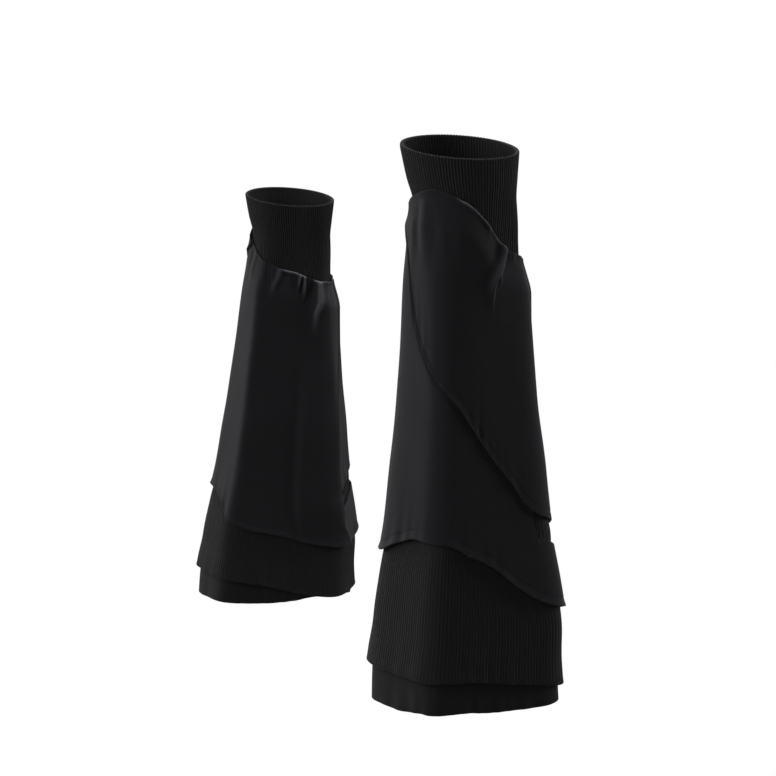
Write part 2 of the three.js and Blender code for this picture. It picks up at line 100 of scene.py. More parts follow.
# Edges that go round a leg warmer, as turns and heights.
SEAM = [
    (0, 412), (20, 399), (45, 379), (70, 368), (95, 361), (130, 365), (165, 373), (205, 378),
    (232, 387), (270, 406), (300, 416), (328, 421),
]
LOWER_HEM = [
    (0, 131), (27, 121), (50, 104), (75, 82), (100, 70), (130, 73), (165, 80), (208, 85),
    (224, 92), (243, 112), (262, 122), (272, 124), (285, 133), (315, 143), (335, 142),
]
RIB_HEM = [
    (0, 27), (30, 24), (62, 19), (95, 11), (130, 13), (170, 20), (226, 26), (262, 28),
    (310, 28),
]
INNER_HEM = [
    (0, 0), (30, -2), (60, -2), (80, 1), (105, 9), (127, 12), (150, 5), (181, 1),
    (240, -2), (271, -4), (295, -4), (328, 0),
]
RIBS_FROM = [
    (0, 140), (27, 130), (48, 125), (61, 176), (77, 166), (108, 158), (124, 92), (165, 89),
    (208, 94), (224, 101), (243, 120), (262, 135), (285, 144), (315, 151), (335, 150),
]

# Edges of the wrapped panels, from their left ends to their right ends.
UPPER_HEM = [
    (-103, 396), (-88, 387), (-76, 365), (-66, 328), (-54, 302), (-36, 280), (-16, 256), (0, 238),
    (21, 218), (51, 190), (69, 162), (90, 142), (125, 122),
]
LOWER_TOP = [
    (262, 401), (282, 378), (294, 346), (306, 320), (324, 296), (344, 272), (360, 254), (381, 234),
    (411, 205), (427.5, 180), (429.5, 145), (437, 134), (450, 121), (484, 103),
]
# The lower panel's free edge, as heights and turns.
FREE_EDGE = [
    (60, 112), (84, 114), (100, 118), (123, 119), (156, 118), (201, 116), (243, 109), (290, 94),
    (330, 89), (365, 87),
]
# Where the panels' columns begin and end. Between the leading turns they lean with the free edge.
UPPER_ENDS = (-103, 104)
LOWER_ENDS = (100, 472)
LEADING_FROM, LEADING_FULL, LEADING_FADING, LEADING_TO = 80, 98, 115, 165

# Gathers under the top seam: where each starts, how far it stands out, its half width in degrees, how far
# down it runs and how many degrees it leans on the way.
Gather = namedtuple("Gather", "turn raised width length lean")
GATHERS = [
    Gather(30, 0.6, 5, 30, -6),
    Gather(48, 2.4, 6, 62, -20),
    Gather(62, 1.2, 4, 18, 0),
    Gather(131, 1.5, 3.5, 50, 0),
    Gather(155, 1.8, 4, 28, 0),
    Gather(165, 1.3, 4, 16, 0),
    Gather(193, 1.2, 5, 24, 3),
    Gather(208, 1.4, 5, 30, 3),
]

# Creases in the fleece below the seam, most of them pulled down from a gather: how far each stands out or,
# below 0, sinks in, its half widths towards lower and higher turns in mm, and its path.
Crease = namedtuple("Crease", "raised before after path")
CREASES = [
    Crease(
        4.4, 6.0, 1.3,
        [(54, 380), (50, 370), (46, 364), (42, 358), (39, 353), (35.5, 347), (34.5, 338), (34, 322)],
    ),
    Crease(1.7, 1.8, 1.2, [(47, 363), (44, 354), (44.5, 343)]),
    Crease(1.2, 2.2, 1.8, [(23, 399), (26, 391), (28, 382)]),
    Crease(-1.3, 2.0, 3.0, [(57, 378), (54, 366), (47, 350)]),
    Crease(0.9, 1.6, 1.6, [(66, 371), (64, 358)]),
    Crease(0.6, 3.5, 2.5, [(-26, 394), (-25.5, 376), (-26.5, 355)]),
    Crease(-0.7, 5.0, 4.0, [(-34, 410), (-33.5, 379), (-35, 345)]),
    Crease(0.7, 5.0, 4.0, [(-46, 414), (-48, 381), (-44, 352)]),
    Crease(-0.6, 3.0, 3.0, [(-57, 408), (-58, 378), (-60, 350)]),
    Crease(0.6, 3.0, 3.0, [(-66, 397), (-68.5, 371), (-70, 350)]),
    Crease(0.4, 4.0, 3.0, [(-10, 408), (-12, 380), (-11, 350)]),
    Crease(0.9, 1.6, 1.6, [(94, 366), (95, 352), (97, 338)]),
    Crease(0.8, 1.4, 1.4, [(117, 368), (117, 354)]),
    Crease(-0.9, 1.6, 1.6, [(122, 368), (122, 350)]),
    Crease(
        6.0, 2.6, 1.7,
        [
            (129, 373), (126.5, 360), (125.5, 349), (125.5, 342),
            (127, 336), (129, 330), (130, 316), (128, 290),
        ],
    ),
    Crease(-1.6, 5.0, 4.5, [(143, 370), (138.5, 355), (136, 341), (135, 322)]),
    Crease(4.6, 1.9, 1.7, [(152, 374), (149, 360), (147.5, 349), (146.5, 336)]),
    Crease(4.0, 1.7, 1.7, [(158.5, 374), (158, 360), (156.5, 349)]),
    Crease(0.5, 2.5, 2.5, [(176, 378), (177, 360), (176, 345)]),
    Crease(3.2, 3.2, 3.6, [(193, 379), (196.5, 366), (201, 360), (203.5, 352), (203, 334)]),
    Crease(-1.9, 3.0, 3.5, [(213, 380), (211.5, 363), (211, 340)]),
    Crease(0.8, 2.2, 2.2, [(219, 384), (220, 368), (222, 350)]),
    Crease(0.6, 2.5, 2.5, [(240, 391), (243, 378), (246, 350)]),
    Crease(-0.8, 3.0, 3.0, [(250, 397), (252, 378), (254, 350)]),
    Crease(0.5, 2.5, 2.5, [(262, 402), (262, 388), (259, 365)]),
]
# The share of a crease's length past which it fades.
CREASE_FADES_FROM = 0.3

# How far the fleece's top edge stands out where it is turned in, as turns and heights of the swelling.
LIP = [
    (0, 1.4), (20, 1.3), (50, 1.3), (62, 0.7), (95, 0.9), (122, 1.2), (129, 2.0), (136, 0.9),
    (142, 0.7), (147, 1.0), (153, 2.5), (160, 2.3), (167, 1.6), (176, 2.1), (188, 1.2), (198, 0.6),
    (230, 0.5), (290, 0.4), (335, 0.5), (350, 0.9),
]

# Layers, each as its inner face's distance out from the form and its wall.
INNER_INSIDE, INNER_WALL = -1.2, 1.2
RIBBED_INSIDE, RIBBED_WALL = 0.7, 2.1
HEM_FLARE, HEM_FLARE_HEIGHT = 1.6, 40
CUFF_INSIDE, CUFF_WALL = -3.3, 3.0
# How far under the seam the cuff ends, the inner tube's gap below the cuff and the ribbed tube's drop.
CUFF_TUCK, SEAM_GAP, RIBBED_TUBE_DROP = 7, 0.3, 20
# How far below the seam the fleece reaches its layer, and how much closer it hangs higher up.
FLEECE_SETTLE = 30
CLOSER_BY, CLOSER_FROM, CLOSER_FULL = 1.4, 190, 250
# The panels' layers, at the seam and below it, on what each lies over.
LOWER_AT_SEAM, LOWER_BELOW = 0.8, 5.7
OVER_UPPER_AT_SEAM, OVER_UPPER, OVER_LOWER = 3.2, 11.9, 8.9
UPPER_AT_SEAM, UPPER_OVER_LOWER, UPPER_BELOW = 0.8, 2.1, 7.9
# A panel's wall is pressed to this share of itself where it is sewn in, and is whole this far below.
SEWN_THIN, SEWN_THIN_DEPTH = 0.6, 10
# No hollow presses a panel thinner than this share of its wall, and its ends keep this share when rounded.
THINNEST, END_BLUNT = 0.55, 0.12
# A hem's line of stitches: its height above the edge and how deep it pulls in, then how wide each is.
INNER_SEWN, RIBBED_SEWN, FLEECE_SEWN = (16, 0.35), (9, 0.3), (7, 0.2)
STITCHES_WIDE = 0.9
# The upper panel's hem presses a groove into the lower panel beside it.
GROOVE_DEPTH, GROOVE_WIDTH, GROOVE_ASIDE = 1.6, 2.2, 2.0
EDGE_GROOVE_FROM = (135, 150)
# The upper panel's right corner hangs a little closer.
CORNER_HUG, CORNER_HUGS = 0.9, (70, 80)
# Higher up, the free edge lies closer on the upper panel.
EDGE_CLOSER, EDGE_CLOSER_FROM = 1.4, (220, 300)
# Turns between which the upper panel comes off the lower one's top at the seam, turns between which the
# lower panel comes off what its free edge lies on, and heights between which the upper panel's hem is under
# it.
OFF_LOWER = (-78, -58)
OFF_UPPER = (117, 152)
UPPER_UNDER = (80, 118)
# Degrees past its start at which the lower panel's top goes under the upper panel, and turns at which the
# upper panel's top goes under the free edge.
UNDER_UPPER = (150, 162)
UNDER_EDGE = (92, 100)

# Ribs round a cuff and a flared tube, how square their profile is and how far from the fleece's edge a
# flared tube's ribs rise.
CUFF_RIBS, HEM_RIBS = 112, 156
RIB_SQUARE = 2.6
RIBS_RISE = 2
# How deep the cuff's grooves go into its wall, the share of its ribs that shows inside, and their rise at
# its rim.
CUFF_GROOVED, CUFF_RIBS_INSIDE, CUFF_RIM_RIBS = 0.8, 0.7, 0.4
# The ribbed tube puffs out where it shows between the two panels on the right.
PUFF, PUFF_TURN, PUFF_TURNS, PUFF_HEIGHT, PUFF_HEIGHTS = 3.4, 82, 16, 144, 16

# A hem's last few millimetres turn outwards, the ribbed tube's by a share of that and the upper panel's
# less between these turns. A hem's ripples fade upwards.
HEM_TURNED, HEM_TURNED_HEIGHT = 0.8, 3.5
RIBBED_TURNED = 0.7
HEM_FLATTER, HEM_FLATTENED = (-25, 5), 0.75
RIPPLE, RIPPLE_HEIGHT = 0.9, 14
# The free edge rolls out along its turned-in strip, and its corner curls.
EDGE_ROLL, EDGE_ROLL_ASIDE, EDGE_ROLL_ACROSS = 1.3, 3.5, 2.6
CURL, CURL_ACROSS, CURL_UP = 3.6, 7, 26
# How far down the swelling of a turned-in top edge reaches.
LIP_DEPTH = 3.2
# Puckers under the seam, as ranges: degrees between them, height, half width in degrees and length.
PUCKER_GAPS, PUCKER_RAISED, PUCKER_WIDTHS, PUCKER_LENGTHS = (5, 13), (0.15, 0.5), (1.6, 3.2), (6, 22)

# Painted highlight on the fleece: the swellings of the top edge from and at which its lip is painted paler,
# how far down that goes, how high a crest is painted fully and how much that is.
HIGHLIGHT_LIP, HIGHLIGHT_DEPTH, HIGHLIGHT_FULL_AT, HIGHLIGHT_CREST = (0.8, 1.5), 1.3, 4.5, 0.34

# Slow unevenness of each cloth, as its seed, its size and how far it lifts, and how far below the seam the
# fleece's sets in. Then the seeds of what is uneven at the hems and the seam.
CUFF_UNEVEN, INNER_UNEVEN, FLEECE_UNEVEN = (3, 90, 0.25), (5, 60, 0.3), (11, 80, 0.35)
FLEECE_UNEVEN_FROM = (5, 40)
INNER_SEED, RIBBED_SEED, UPPER_SEED, LOWER_SEED = 23, 29, 11, 17

# Columns of points: for each rib, in all, and the heights where they are spaced by length.
CUFF_RIB_COLUMNS, HEM_RIB_COLUMNS = 6, 5
INNER_COLUMNS, UPPER_COLUMNS, LOWER_COLUMNS = 240, 250, 400
TUBE_SPACED_AT, FLEECE_SPACED_AT = 60, 300
# A panel's columns lie so many times closer at a crease at least this sharp, and this many degrees beside
# it.
CLOSER_COLUMNS, SHARP_CREASE, CLOSER_ASIDE = 3, 1.2, 4
# Rows of points down the outer face and then the inner face, round an edge, and round a panel's end.
CUFF_ROWS, INNER_ROWS, RIBBED_ROWS, FLEECE_ROWS = (26, 16), (60, 20), (9, 34, 12), (52, 34, 16, 30)
EDGE_ROWS, END_ROWS = 5, 5
# A panel's rows lie closest in its creased top and its sewn hem, for these depths or shares of its length.
CREASED_DEPTH, CREASED_SHARE = 75, 0.45
HEM_DEPTH, HEM_SHARE = 11, 0.2

# One leg warmer: whether its depth is mirrored, its lean in degrees, its steps right, back and up from the
# near one in mm, how many times wider its cuff and its hem and how many times deeper it is, how far its rim
# drops in front and on the right, its falls, and how crisp the corners between them are in its fleece.
Leg = namedtuple(
    "Leg", "name mirrored lean step cuff_spread hem_spread depth_spread rim_drop falls fleece_sharpness"
)
# The far one is the other leg's, so its depth is mirrored. The near one's fleece hangs in rounder corners
# than its tubes, the far one's in crisper ones.
NEAR = Leg("near", False, 0.0, (0, 0, 0), 1.0, 1.0, 1.0, (4, 3), NEAR_FALLS, 9)
FAR = Leg("far", True, 3.5, (-177, 763, -148), 1.04, 1.125, 0.97, (-4, 1), FAR_FALLS, 30)
LEGS = [NEAR, FAR]
# Heights between which the hem's width fades into the cuff's.
SPREAD_FULL, SPREAD_NONE = 230, 420


def linear(hex_colour):
    """The linear colour of an sRGB hex value such as '#232225'."""
    parts = [int(hex_colour[i : i + 2], 16) / 255 for i in (1, 3, 5)]
    return tuple(p / 12.92 if p <= 0.04045 else ((p + 0.055) / 1.055) ** 2.4 for p in parts)


class LegWarmerSizes(bpy.types.PropertyGroup):
    """Sizes that change how the cloth looks."""

    cuff_rib: bpy.props.FloatProperty(
        name="Cuff Rib",
        description="How far a cuff's rib stands out",
        default=1.0 * MM,
        unit="LENGTH",
        precision=5,
    )
    hem_rib: bpy.props.FloatProperty(
        name="Hem Rib",
        description="How far a flared tube's rib stands out",
        default=0.4 * MM,
        unit="LENGTH",
        precision=5,
    )
    fleece_wall: bpy.props.FloatProperty(
        name="Fleece Wall",
        description="Thickness of the fleece",
        default=1.7 * MM,
        unit="LENGTH",
        precision=5,
    )
    lip: bpy.props.FloatProperty(
        name="Seam Lip",
        description="Swelling of the fleece's turned-in top edge, in times its usual one",
        default=1.0,
        min=0.0,
        max=2.0,
    )
    gathering: bpy.props.FloatProperty(
        name="Gathering",
        description="Strength of the gathers and creases under the cuff, in times the usual one",
        default=1.0,
        min=0.0,
        max=1.5,
    )


class LegWarmerColours(bpy.types.PropertyGroup):
    """Colours of the cloths and the floor."""

    fleece: bpy.props.FloatVectorProperty(
        name="Fleece",
        description="Brushed fleece",
        subtype="COLOR",
        default=linear("#161518"),
    )
    # The cuff's rib knit is a paler copy of the flared tubes' one, painted lighter to stand in for the light
    # its ribs catch.
    cuff: bpy.props.FloatVectorProperty(
        name="Cuff",
        description="Rib knit of the cuffs",
        subtype="COLOR",
        default=linear("#19181a"),
    )
    rib: bpy.props.FloatVectorProperty(
        name="Flared Rib",
        description="Rib knit of the flared tubes",
        subtype="COLOR",
        default=linear("#151416"),
    )
    jersey: bpy.props.FloatVectorProperty(
        name="Jersey",
        description="Smooth jersey",
        subtype="COLOR",
        default=linear("#121214"),
    )
    floor: bpy.props.FloatVectorProperty(
        name="Floor",
        description="Floor and backdrop",
        subtype="COLOR",
        default=linear("#ffffff"),
    )


def smoothstep(x, low, high):
    """A soft step from 0 at low to 1 at high."""
    share = np.clip((x - low) / (high - low), 0, 1)
    return share * share * (3 - 2 * share)


def lerp(start, end, share):
    """The value at a share of the way from start to end."""
    return start + (end - start) * share


def curve(at, value):
    """A smooth curve through points, with slopes that never overshoot one."""
    at, value = np.array(at, float), np.array(value, float)
    rise = np.diff(value) / np.diff(at)
    before = np.concatenate([rise[:1], rise])
    after = np.concatenate([rise, rise[-1:]])
    together = np.where(before + after == 0, 1, before + after)
    slope = np.where(before * after > 0, 2 * before * after / together, 0)

    def through(where):
        x = np.clip(where, at[0], at[-1])
        k = np.clip(np.searchsorted(at, x, side="right") - 1, 0, len(at) - 2)
        span = at[k + 1] - at[k]
        t = (x - at[k]) / span
        lift = slope[k] * span - (value[k + 1] - value[k])
        fall = slope[k + 1] * span - (value[k + 1] - value[k])
        return lerp(value[k], value[k + 1], t) + t * (1 - t) * ((1 - t) * lift - t * fall)

    return through


def curve_round(rows):
    """The same through turns and heights that close on themselves."""
    before = [(turn - 360, value) for turn, value in rows[-1:]]
    after = [(turn + 360, value) for turn, value in rows[:2]]
    through = curve(*zip(*before, *rows, *after))
    return lambda turn: through(np.mod(turn, 360))


seam, lower_hem, rib_hem, inner_hem, ribs_from, lip_raise = map(
    curve_round, (SEAM, LOWER_HEM, RIB_HEM, INNER_HEM, RIBS_FROM, LIP)
)
upper_hem, lower_top, free_edge = (curve(*zip(*rows)) for rows in (UPPER_HEM, LOWER_TOP, FREE_EDGE))
centre, half_width, half_depth, five_sided = (
    curve([level.height for level in FORM], [level[column] for level in FORM]) for column in range(1, 5)
)


def fall_point(leg, turn, sharpness):
    """A turn's point on the five-sided outline, at the size that the falls' reaches give."""
    angle = np.radians(turn)
    total = 0
    for fall in leg.falls:
        facing = np.maximum(np.cos(angle - math.radians(fall.turn)), 0)
        total = total + (facing / fall.reach) ** sharpness
    reach = total ** (-1 / sharpness)
    return reach * np.sin(angle), -reach * np.cos(angle)


# The ends of each five-sided outline across and in depth, which fit it to the form's width and depth.
OUTLINES = {
    (leg.name, sharpness): [
        (min(side), max(side)) for side in fall_point(leg, np.arange(0, 360, 0.25), sharpness)
    ]
    for leg in LEGS
    for sharpness in (CORNER_SHARPNESS, leg.fleece_sharpness)
}


def form_point(leg, turn, height, out, sharpness=CORNER_SHARPNESS):
    """Points of one leg warmer's form at turns and heights, moved out by distances square to the outline."""
    flared = 1 - smoothstep(height, SPREAD_FULL, SPREAD_NONE)
    width = half_width(height) * lerp(leg.cuff_spread, leg.hem_spread, flared)
    depth = half_depth(height) * leg.depth_spread
    blend = five_sided(height)

    def on_outline(where):
        angle = np.radians(where)
        sides = []
        ovals = (np.sin(angle), -np.cos(angle))
        falls = fall_point(leg, where, sharpness)
        for fall, oval, (low, high), half in zip(falls, ovals, OUTLINES[leg.name, sharpness], (width, depth)):
            boxed = (fall - (low + high) / 2) / ((high - low) / 2)
            sides.append(lerp(oval, boxed, blend) * half)
        return sides

    x, y = on_outline(turn)
    ahead, behind = on_outline(turn + 1), on_outline(turn - 1)
    along_x, along_y = ahead[0] - behind[0], ahead[1] - behind[1]
    length = np.hypot(along_x, along_y)
    across = centre(height) + x + out * along_y / length
    return np.stack([across, y - out * along_x / length, height + 0 * x], -1)


def placed(leg, points):
    """A leg warmer's own points in millimetres, as points of the frame in metres."""
    x, y, z = np.moveaxis(points, -1, 0)
    y = -y if leg.mirrored else y
    z = z - LENGTH / 2
    cos, sin = math.cos(math.radians(leg.lean)), math.sin(math.radians(leg.lean))
    right, behind, up = leg.step
    moved = [
        x * cos + z * sin + right - float(centre(GRIP_HEIGHT)),
        y + behind,
        z * cos - x * sin + up + LENGTH / 2 - GRIP_HEIGHT,
    ]
    return np.stack(moved, -1) * MM


def turns_by_length(height, start, end, count, close=None):
    """Turns spaced by length round the form at a height, both ends included, and each one's length. close
    gives how many times closer together they lie at a turn."""
    fine = np.linspace(start, end, 2000)
    points = form_point(NEAR, fine, np.full_like(fine, float(height)), 0)
    steps = np.linalg.norm(np.diff(points, axis=0), axis=1)
    lengths = np.concatenate([[0], np.cumsum(steps)])
    crowd = steps * (close(fine[1:]) if close else 1)
    crowded = np.concatenate([[0], np.cumsum(crowd)])
    turns = np.interp(np.linspace(0, crowded[-1], count), crowded, fine)
    return turns, np.interp(turns, fine, lengths)


def closer_at_creases(turn):
    """How many times closer together a panel's columns lie at turns, for its sharp creases."""
    times = np.ones_like(turn)
    for crease in CREASES:
        if abs(crease.raised) > SHARP_CREASE:
            turns = [at for at, _ in crease.path]
            low, high = min(turns) - CLOSER_ASIDE, max(turns) + CLOSER_ASIDE
            past = np.mod(turn - low, 360)
            times = np.where(past < high - low, CLOSER_COLUMNS, times)
    return times


def even_rows(count):
    """Shares from 0 to 1 for rows that lie evenly, the same for each column."""
    return np.linspace(0, 1, count)[None, :]


def section(top, bottom, share, inner_rows, outer, inner):
    """Heights and distances out of a wall's loop for each column: down the outside, round the bottom, up the
    inside and round the top. share places the outside's rows, from 0 at the top to 1 at the bottom, and
    outer and inner give the faces' distances out at the columns' heights."""

    def half_at(height):
        return (outer(height) - inner(height)) / 2

    top, bottom = top[:, None], bottom[:, None]
    top_round = half_at(top)
    bottom_round = half_at(bottom)
    inner_share = np.linspace(1, 0, inner_rows)[None, :]
    down = lerp(top - top_round, bottom + bottom_round, share)
    up = lerp(top - top_round, bottom + bottom_round, inner_share)
    angle = np.linspace(0, math.pi, EDGE_ROWS + 2)[None, 1:-1]
    heights = [down, bottom + bottom_round * (1 - np.sin(angle)), up, top - top_round * (1 - np.sin(angle))]
    low, high = down[:, -1:], down[:, :1]
    outs = [
        outer(down),
        (outer(low) + inner(low)) / 2 + half_at(low) * np.cos(angle),
        inner(up),
        (outer(high) + inner(high)) / 2 - half_at(high) * np.cos(angle),
    ]
    return np.concatenate(heights, 1), np.concatenate([o + 0 * h for o, h in zip(outs, heights)], 1)


def wall_mesh(name, leg, points, across, down, closed, painted_highlight=None):
    """A mesh through columns of points, each a loop, with the cloth's own lengths as its UVs in metres.
    The last argument gives each point's share of painted highlight, paler fleece that stands in for light
    caught there."""
    columns, loop = points.shape[:2]
    c, i = np.meshgrid(np.arange(columns if closed else columns - 1), np.arange(loop), indexing="ij")
    c, i = c.ravel(), i.ravel()
    c_next, i_next = (c + 1) % columns, (i + 1) % loop
    faces = np.stack([c * loop + i, c * loop + i_next, c_next * loop + i_next, c_next * loop + i], 1)
    u = np.stack([across[c], across[c], across[c + 1], across[c + 1]], 1)
    v = np.stack([down[c, i], down[c, i_next], down[c_next, i_next], down[c_next, i]], 1)
    order = [3, 2, 1, 0] if leg.mirrored else [0, 1, 2, 3]
    faces, u, v = faces[:, order].tolist(), u[:, order].ravel(), v[:, order].ravel()
    if not closed:
        start = list(range(loop - 1, -1, -1))
        end = [(columns - 1) * loop + k for k in range(loop)]
        for cap, column in ((start, 0), (end, columns - 1)):
            cap = cap[::-1] if leg.mirrored else cap
            faces.append(cap)
            u = np.concatenate([u, np.full(loop, across[column])])
            v = np.concatenate([v, down[column, np.array(cap) % loop]])
    mesh = bpy.data.meshes.new(name)
    mesh.from_pydata(placed(leg, points.reshape(-1, 3)).tolist(), [], faces)
    uvs = mesh.uv_layers.new(name="Cloth")
    uvs.data.foreach_set("uv", np.stack([u, v], 1).astype(np.float32).ravel() * MM)
    # Each point's share of painted highlight, kept as a point attribute that the fleece material reads.
    if painted_highlight is not None:
        layer = mesh.attributes.new("painted_highlight", "FLOAT", "POINT")
        layer.data.foreach_set("value", painted_highlight.ravel().astype(np.float32))
    mesh.polygons.foreach_set("use_smooth", [True] * len(mesh.polygons))
    mesh.update()
    return mesh


def add_piece(name, mesh, material, slot, *nodes):
    """Puts a mesh into the scene as a piece that rides on the one body and stands for nodes."""
    piece = bpy.data.objects.new(name, mesh)
    bpy.context.scene.collection.objects.link(piece)
    mesh.materials.append(material)
    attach(piece, "root")
    if nodes:
        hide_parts(*nodes)
    return piece


def rib_profile(across, pitch):
    """A rib's height from 0 in the groove to 1 at its round middle."""
    phase = np.mod(across / pitch, 1)
    return 1 - np.abs(2 * phase - 1) ** RIB_SQUARE


def rim_height(leg, turn):
    """The height of the cuff's slanting rim."""
    front, right = leg.rim_drop
    return LENGTH - front * np.cos(np.radians(turn)) - right * np.sin(np.radians(turn))


def waves(turn, height, seed, size, amount):
    """A slow unevenness of the cloth, the same each run and the same after a full turn."""
    source = random.Random(seed)
    total = 0
    for _ in range(5):
        laps = source.randint(2, 7)
        pitch = source.uniform(0.7, 1.6) * size
        phase = source.uniform(0, 2 * math.pi)
        total = total + np.sin(np.radians(turn * laps) + 2 * math.pi * height / pitch + phase)
    return amount * total / 5


def make_cuff(leg, sizes, material):
    """The rib-knit cuff, ribbed on both faces, from its round rim down to where it tucks into the fleece."""
    turns, lengths = turns_by_length(GRIP_HEIGHT, 0, 360, CUFF_RIBS * CUFF_RIB_COLUMNS + 1)
    ribs = rib_profile(lengths[:-1], lengths[-1] / CUFF_RIBS)[:, None]
    turn = turns[:-1]
    raised = sizes.cuff_rib / MM

    def outer(height):
        outside = CUFF_INSIDE + CUFF_WALL - CUFF_GROOVED
        return outside + raised * ribs + waves(turn[:, None], height, *CUFF_UNEVEN)

    def inner(height):
        return CUFF_INSIDE + CUFF_RIBS_INSIDE * raised * ribs + waves(turn[:, None], height, *CUFF_UNEVEN)

    top = rim_height(leg, turn) + CUFF_RIM_RIBS * ribs[:, 0]
    bottom = seam(turn) - CUFF_TUCK
    outer_rows, inner_rows = CUFF_ROWS
    height, out = section(top, bottom, even_rows(outer_rows), inner_rows, outer, inner)
    points = form_point(leg, turn[:, None] + 0 * height, height, out)
    mesh = wall_mesh(f"{leg.name}_cuff", leg, points, lengths, height, True)
    return add_piece(f"{leg.name}_cuff_knit", mesh, material, "rib_knit", f"{leg.name}_cuff")


def stitched(above, at, depth):
    """How far a hem's line of stitches pulls a face in, at heights above its edge."""
    return -depth * np.exp(-(((above - at) / STITCHES_WIDE) ** 2))


def make_inner_tube(leg, sizes, material):
    """The smooth tube next to the leg, with a turned and sewn hem."""
    turns, lengths = turns_by_length(TUBE_SPACED_AT, 0, 360, INNER_COLUMNS + 1)
    turn = turns[:-1]
    hem = inner_hem(turn)[:, None]

    def inner(height):
        ripples = rippled(turn[:, None], height - hem, INNER_SEED)
        return INNER_INSIDE + (waves(turn[:, None], height, *INNER_UNEVEN) + ripples)

    def outer(height):
        return inner(height) + INNER_WALL + stitched(height - hem, *INNER_SEWN)

    top = seam(turn) - CUFF_TUCK - SEAM_GAP
    outer_rows, inner_rows = INNER_ROWS
    height, out = section(top, hem[:, 0], even_rows(outer_rows), inner_rows, outer, inner)
    points = form_point(leg, turn[:, None] + 0 * height, height, out)
    mesh = wall_mesh(f"{leg.name}_inner_tube", leg, points, lengths, height, True)
    return add_piece(f"{leg.name}_inner_tube_jersey", mesh, material, "jersey", f"{leg.name}_inner_tube")


def puffed(turn, height):
    """How far the ribbed tube puffs out where it shows between the two panels on the right."""
    aside = (turn - PUFF_TURN) / PUFF_TURNS
    up = (height - PUFF_HEIGHT) / PUFF_HEIGHTS
    return PUFF * np.exp(-(aside**2) - up**2)


def make_ribbed_tube(leg, sizes, material):
    """The ribbed tube over it, plain where the fleece hides it and standing a little proud at its hem."""
    turns, lengths = turns_by_length(TUBE_SPACED_AT, 0, 360, HEM_RIBS * HEM_RIB_COLUMNS + 1)
    turn = turns[:-1]
    ribs = rib_profile(lengths[:-1], lengths[-1] / HEM_RIBS)[:, None]
    hem = rib_hem(turn)[:, None]
    shown_from = ribs_from(turn)[:, None]
    raised = sizes.hem_rib / MM

    def inner(height):
        above = height - hem
        flare = HEM_FLARE * (1 - smoothstep(above, 0, HEM_FLARE_HEIGHT)) + RIBBED_TURNED * turned_out(above)
        ripples = rippled(turn[:, None], above, RIBBED_SEED)
        return RIBBED_INSIDE + flare + ripples + puffed(turn[:, None], height)

    def outer(height):
        shown = 1 - smoothstep(height, shown_from - RIBS_RISE, shown_from + RIBS_RISE)
        return inner(height) + RIBBED_WALL + raised * ribs * shown + stitched(height - hem, *RIBBED_SEWN)

    top = seam(turn) - RIBBED_TUBE_DROP
    split = (top[:, None] - shown_from) / (top[:, None] - hem)
    hidden_rows, shown_rows, inner_rows = RIBBED_ROWS
    share = np.concatenate([split * even_rows(hidden_rows)[:, :-1], lerp(split, 1, even_rows(shown_rows))], 1)
    height, out = section(top, hem[:, 0], share, inner_rows, outer, inner)
    points = form_point(leg, turn[:, None] + 0 * height, height, out)
    mesh = wall_mesh(f"{leg.name}_ribbed_tube", leg, points, lengths, height, True)
    return add_piece(f"{leg.name}_ribbed_tube_knit", mesh, material, "rib_knit", f"{leg.name}_ribbed_tube")


def led_turn(turn, height):
    """A panel's turn, led aside at its end so that it follows the free edge's lean."""
    near = np.where(turn > 270, turn - 360, turn)
    share = smoothstep(near, LEADING_FROM, LEADING_FULL) * (1 - smoothstep(near, LEADING_FADING, LEADING_TO))
    return turn + (free_edge(height) - LOWER_ENDS[0]) * share


def on_edge(turn, edge):
    """The height where a panel's column meets an edge."""
    led = turn
    for _ in range(4):
        led = led_turn(turn, edge(led))
    return edge(led)


def gathered(turn, drop, strength):
    """How far the gathers stand out of a panel, fading as they run down from the seam."""
    total = 0
    for gather in GATHERS:
        down = np.clip(drop / gather.length, 0, 1)
        aside = np.mod(turn - gather.turn - gather.lean * down + 180, 360) - 180
        ridge = np.exp(-((aside / gather.width) ** 2))
        total = total + gather.raised * ridge * (1 - down) ** 2 * smoothstep(drop, 0, 5)
    return total * strength


def creased(turn, height, strength):
    """How far the creases lift or sink a panel's face at turns and heights."""
    total = 0
    for crease in CREASES:
        turns, heights = zip(*crease.path)
        top, bottom = heights[0], heights[-1]
        middle = np.interp(height, heights[::-1], turns[::-1])
        aside = (np.mod(turn - middle + 180, 360) - 180) * half_width(height) * math.pi / 180
        width = np.where(aside < 0, crease.before, crease.after)
        down = (top - height) / (top - bottom)
        along = smoothstep(down, -0.05, 0.08) * (1 - smoothstep(down, CREASE_FADES_FROM, 1))
        total = total + crease.raised * along * np.exp(-((aside / width) ** 2))
    return total * strength


def puckers(turn, drop, seed):
    """Small puckers just under the seam, uneven in place, length and height."""
    source = random.Random(seed)
    total = 0
    at = 0
    while at < 360:
        at += source.uniform(*PUCKER_GAPS)
        raised = source.uniform(*PUCKER_RAISED)
        width = source.uniform(*PUCKER_WIDTHS)
        length = source.uniform(*PUCKER_LENGTHS)
        aside = np.mod(turn - at + 180, 360) - 180
        down = np.clip(drop / length, 0, 1)
        total = total + raised * np.exp(-((aside / width) ** 2)) * (1 - down) ** 2
    return total * smoothstep(drop, 1, 5)


def turned_out(above):
    """How far a hem turns out, at heights above its edge."""
    return HEM_TURNED * np.exp(-((above / HEM_TURNED_HEIGHT) ** 2))


def past_edge(turn, height):
    """How many millimetres a turn lies past the lower panel's free edge."""
    return (np.mod(turn - free_edge(height) + 90, 360) - 90) * half_width(height) * math.pi / 180


